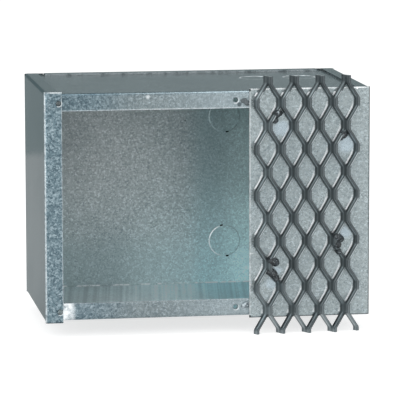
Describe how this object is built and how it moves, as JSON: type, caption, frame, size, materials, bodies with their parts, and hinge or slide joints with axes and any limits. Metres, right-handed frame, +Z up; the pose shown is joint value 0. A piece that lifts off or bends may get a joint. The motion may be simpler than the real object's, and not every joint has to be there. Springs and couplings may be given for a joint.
{
  "type": "concrete slab box",
  "caption": "Galvanised steel slab box: open-fronted folded body with lapped end plates, conduit knockouts, cover-screw holes and an expanded-metal plaster key welded to its front panel.",
  "frame": {"origin": "centre of the cover-screw holes, on the front face of the strips they are punched in", "axes": "+X to the right along the box's width, +Y from the open front to the back, +Z up"},
  "size_m": [0.25, 0.1541, 0.1976],
  "materials": {
    "galvanised_sheet": "galvanised sheet, fine spangle, satin",
    "mesh_steel": "dull expanded steel with bright sheared edges",
    "weld_metal": "burnt arc tack, rough"
  },
  "bodies": {
    "root": {"box_wrap": "galvanised_sheet", "top_plate": "galvanised_sheet", "bottom_plate": "galvanised_sheet", "key_mesh": "mesh_steel", "mesh_tacks": "weld_metal", "panel_tacks": "weld_metal"}
  },
  "joints": []
}
